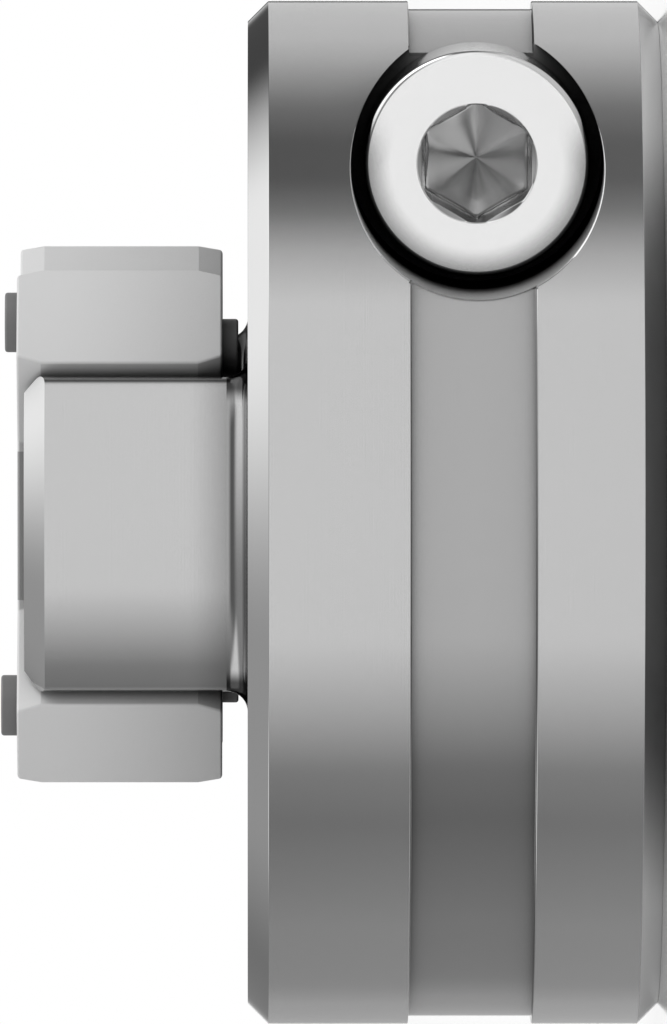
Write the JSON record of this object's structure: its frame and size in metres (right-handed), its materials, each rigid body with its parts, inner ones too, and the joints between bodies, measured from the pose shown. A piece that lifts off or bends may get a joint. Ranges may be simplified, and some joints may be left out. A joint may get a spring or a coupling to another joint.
{
  "type": "coupling hub",
  "caption": "Clamping hub of a backlash-free jaw coupling: grooved round clamp ring with slit and hex socket clamp screw, two jaws, and a four-armed elastomer insert seated between them.",
  "frame": {"origin": "middle of the hub's back face, on the bore axis, where the hub stands", "axes": "+Z along the bore axis towards the jaws; the clamp slit is on the +X side; the clamp screw lies along Y with its head towards -Y"},
  "size_m": [0.032, 0.032, 0.0204],
  "materials": {
    "hub_aluminium": "fine turned, satin",
    "screw_steel": "plated, smooth",
    "insert_elastomer": "moulded, matte"
  },
  "bodies": {
    "hub": {"clamping_hub": "hub_aluminium", "elastomer_spider": "insert_elastomer"},
    "screw": {"clamp_screw": "screw_steel"}
  },
  "joints": [
    {"name": "screw_turn", "type": "hinge", "parent": "hub", "child": "screw", "pos_m": [0.01158, -0.0055, 0.00573], "axis": [0, -1, 0], "range_deg": [0, 540]}
  ]
}
